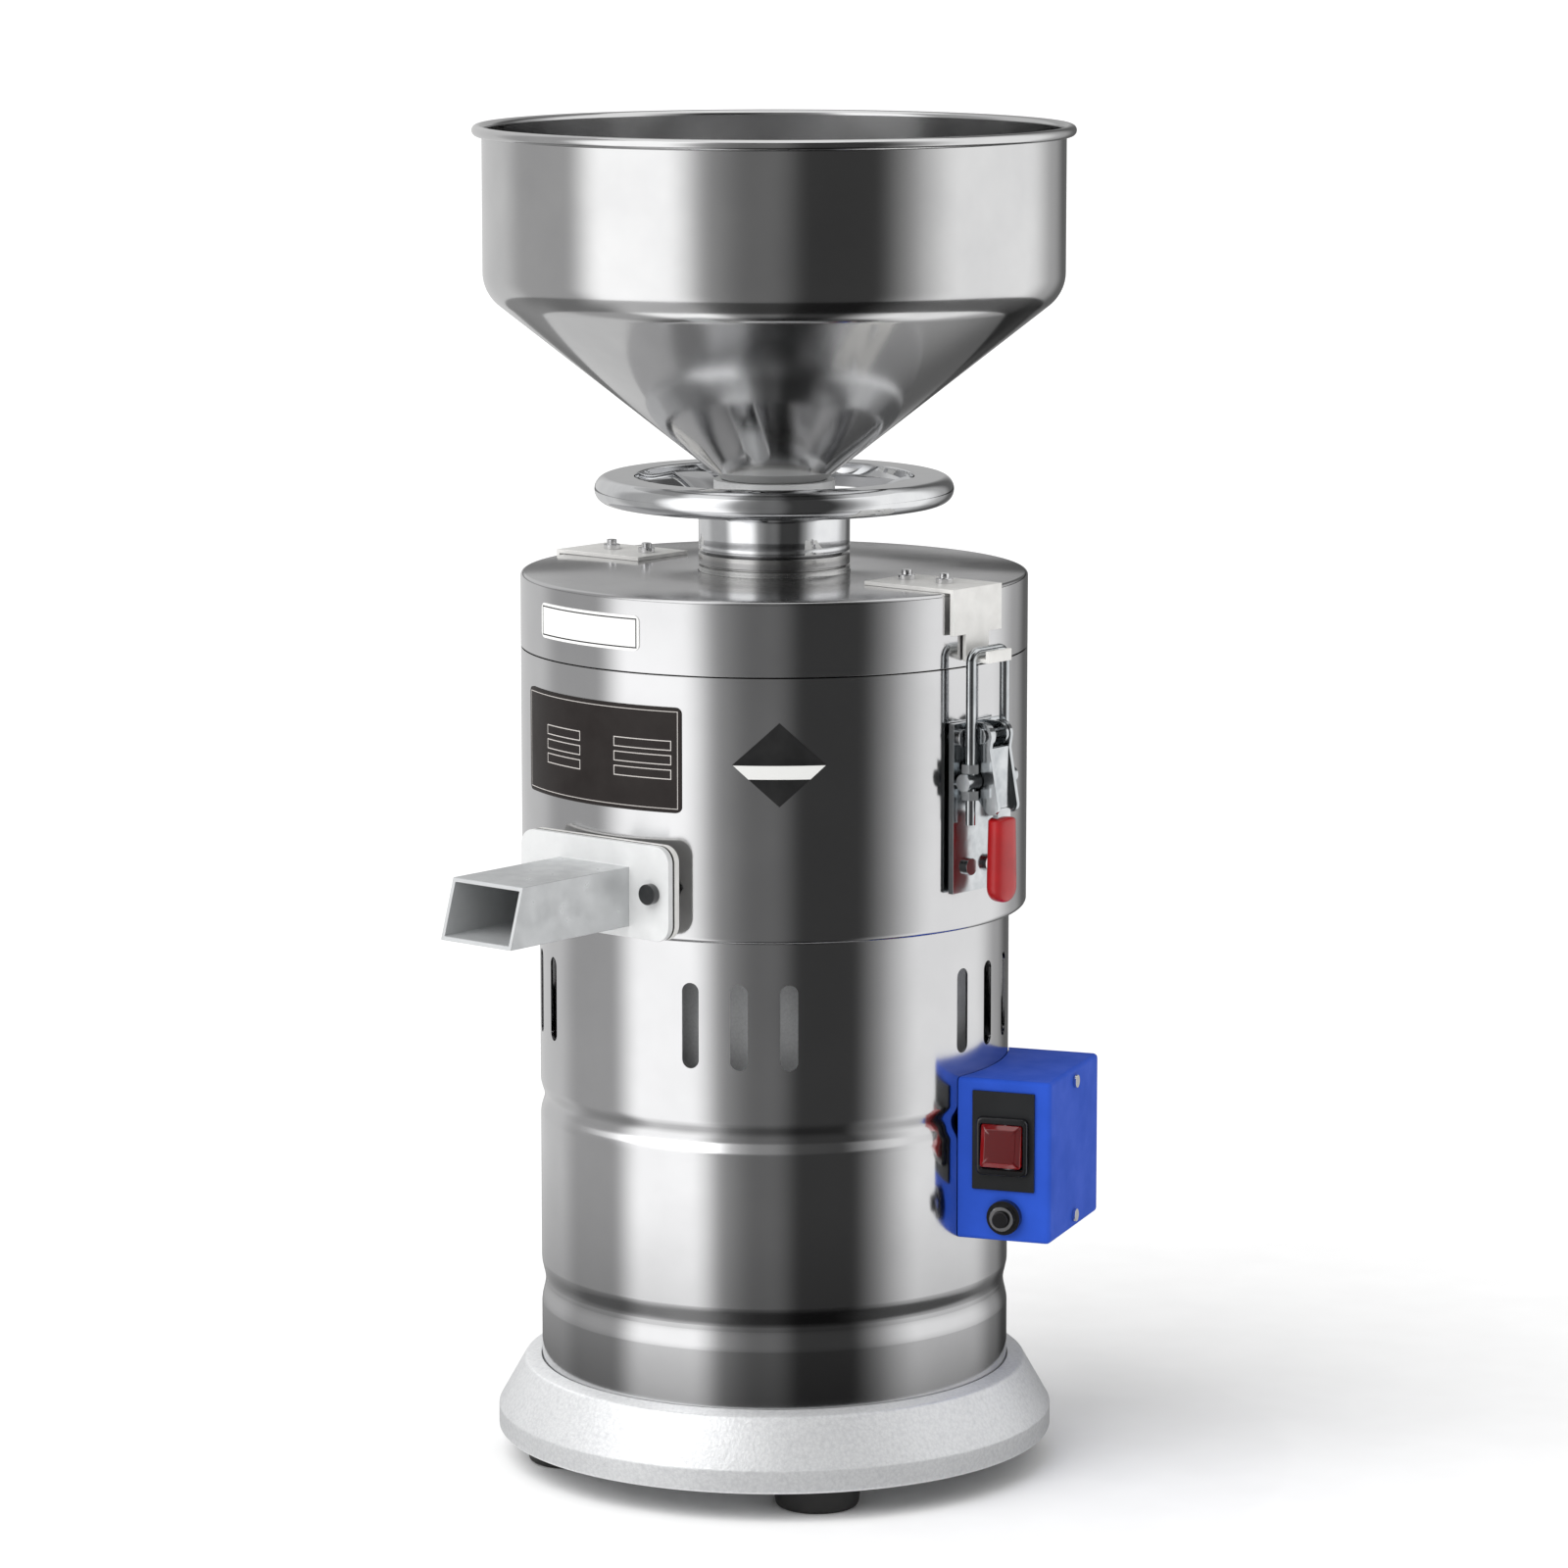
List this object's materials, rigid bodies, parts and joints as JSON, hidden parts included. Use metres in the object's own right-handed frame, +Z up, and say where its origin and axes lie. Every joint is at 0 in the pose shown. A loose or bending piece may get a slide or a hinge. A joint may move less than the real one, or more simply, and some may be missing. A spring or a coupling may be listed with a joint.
{
  "type": "nut butter grinder",
  "caption": "Upright stone mill for nut butter: steel drum on a cast base, side spout, clamped lid, gap handwheel, feed hopper and blue switch box.",
  "frame": {"origin": "on the shaft axis at the floor, level with the undersides of the feet and the mouths of the bench bolt holes", "axes": "+Z up along the shaft, -Y the way the spout points, +X the side of the clamp and the control box"},
  "size_m": [0.3089, 0.367, 0.6675],
  "materials": {
    "cast_base": "sand cast, silver",
    "rubber_foot": "black moulded rubber",
    "polished_steel": "polished stainless sheet",
    "cast_aluminium": "die cast",
    "laminated_steel": "laminated electrical steel",
    "copper_winding": "enamelled copper wire",
    "bearing_steel": "ground steel",
    "seal_rubber": "nitrile rubber",
    "silicone_gasket": "white silicone",
    "stainless_spout": "satin stainless, folded and welded",
    "stainless_fastener": "bright stainless screws",
    "turned_steel": "turned stainless",
    "strap_steel": "bent stainless strip",
    "clamp_zinc": "bright zinc plate",
    "grip_red": "red dipped vinyl",
    "plate_dark": "printed aluminium plate, blank",
    "label_pale": "blank film labels",
    "box_blue": "blue powder coat",
    "black_abs": "black ABS",
    "button_black": "black ABS",
    "rocker_red": "red translucent polycarbonate",
    "capacitor_white": "moulded case",
    "fan_plastic": "glass filled nylon",
    "grinding_stone": "bonded corundum",
    "chrome_wheel": "polished and plated casting",
    "spun_steel": "spun stainless sheet, polished"
  },
  "bodies": {
    "root": {"base_ring": "cast_base", "feet": "rubber_foot", "motor_shell": "polished_steel", "bottom_shield": "cast_aluminium", "stator_core": "laminated_steel", "stator_winding": "copper_winding", "bearing_housing": "cast_aluminium", "lower_bearing": "bearing_steel", "upper_bearing": "bearing_steel", "shaft_seal": "seal_rubber", "tie_bolts": "stainless_fastener", "casing": "polished_steel", "grinding_bowl": "cast_aluminium", "outlet_plate": "stainless_spout", "spout_gasket": "seal_rubber", "spout": "stainless_spout", "spout_bolts": "stainless_fastener", "lid": "polished_steel", "lid_cap": "cast_aluminium", "lid_neck": "turned_steel", "lid_gasket": "silicone_gasket", "dial_ring": "turned_steel", "latch_strap_right": "strap_steel", "latch_strap_left": "strap_steel", "strap_bolts": "stainless_fastener", "clamp_base_right": "clamp_zinc", "clamp_base_left": "clamp_zinc", "clamp_pins": "stainless_fastener", "clamp_screws": "stainless_fastener", "rating_plate": "plate_dark", "blank_labels": "label_pale", "control_box": "box_blue", "box_bracket": "clamp_zinc", "box_screws": "stainless_fastener", "switch_plate": "black_abs", "switch_frame": "black_abs", "reset_breaker": "black_abs", "cable_gland": "black_abs", "run_capacitor": "capacitor_white"},
    "rotor": {"motor_shaft": "bearing_steel", "rotor_core": "laminated_steel", "cooling_fan": "fan_plastic", "stone_carrier": "cast_aluminium", "lower_stone": "grinding_stone", "shaft_nut": "bearing_steel"},
    "adjuster": {"feed_tube": "turned_steel", "upper_stone": "grinding_stone", "stone_bolts": "stainless_fastener", "retaining_ring": "bearing_steel"},
    "handwheel": {"handwheel": "chrome_wheel"},
    "hopper": {"hopper": "spun_steel"},
    "handle_right": {"clamp_handle_right": "clamp_zinc", "clamp_grip_right": "grip_red"},
    "ubolt_right": {"clamp_ubolt_right": "clamp_zinc"},
    "handle_left": {"clamp_handle_left": "clamp_zinc", "clamp_grip_left": "grip_red"},
    "ubolt_left": {"clamp_ubolt_left": "clamp_zinc"},
    "rocker": {"switch_rocker": "rocker_red"},
    "reset_button": {"reset_button": "button_black"}
  },
  "joints": [
    {"name": "shaft_spin", "type": "hinge", "parent": "root", "child": "rotor", "pos_m": [0, 0, 0.2], "axis": [0, 0, 1], "continuous": true},
    {"name": "stone_lift", "type": "slide", "parent": "root", "child": "adjuster", "axis": [0, 0, 1], "range_m": [-0.00051, 0.00151]},
    {"name": "wheel_turn", "type": "hinge", "parent": "adjuster", "child": "handwheel", "pos_m": [0, 0, 0.48], "axis": [0, 0, 1], "range_deg": [-90, 270]},
    {"name": "hopper_lift_off", "type": "slide", "parent": "adjuster", "child": "hopper", "axis": [0, 0, 1], "range_m": [0, 0.08]},
    {"name": "handle_right_swing", "type": "hinge", "parent": "root", "child": "handle_right", "pos_m": [0.137, 0, 0.379], "axis": [0, -1, 0], "range_deg": [0, 90]},
    {"name": "ubolt_right_swing", "type": "hinge", "parent": "handle_right", "child": "ubolt_right", "pos_m": [0.1345, 0, 0.357], "axis": [0, -1, 0], "range_deg": [-65, 0]},
    {"name": "handle_left_swing", "type": "hinge", "parent": "root", "child": "handle_left", "pos_m": [-0.137, 0, 0.379], "axis": [0, 1, 0], "range_deg": [0, 90]},
    {"name": "ubolt_left_swing", "type": "hinge", "parent": "handle_left", "child": "ubolt_left", "pos_m": [-0.1345, 0, 0.357], "axis": [0, 1, 0], "range_deg": [-65, 0]},
    {"name": "rocker_tip", "type": "hinge", "parent": "root", "child": "rocker", "pos_m": [0.13985, 0.00727, 0.175], "axis": [0.9397, 0.342, 0], "range_deg": [0, 14]},
    {"name": "reset_push", "type": "slide", "parent": "root", "child": "reset_button", "axis": [-0.342, 0.9397, 0], "range_m": [0, 0.002], "stiffness_N_per_m": 300}
  ],
  "couplings": [
    {"joint": "stone_lift", "follows": "wheel_turn", "m_per_rad": 0.00031831},
    {"joint": "ubolt_right_swing", "follows": "handle_right_swing", "ratio": -0.72},
    {"joint": "ubolt_left_swing", "follows": "handle_left_swing", "ratio": -0.72}
  ]
}
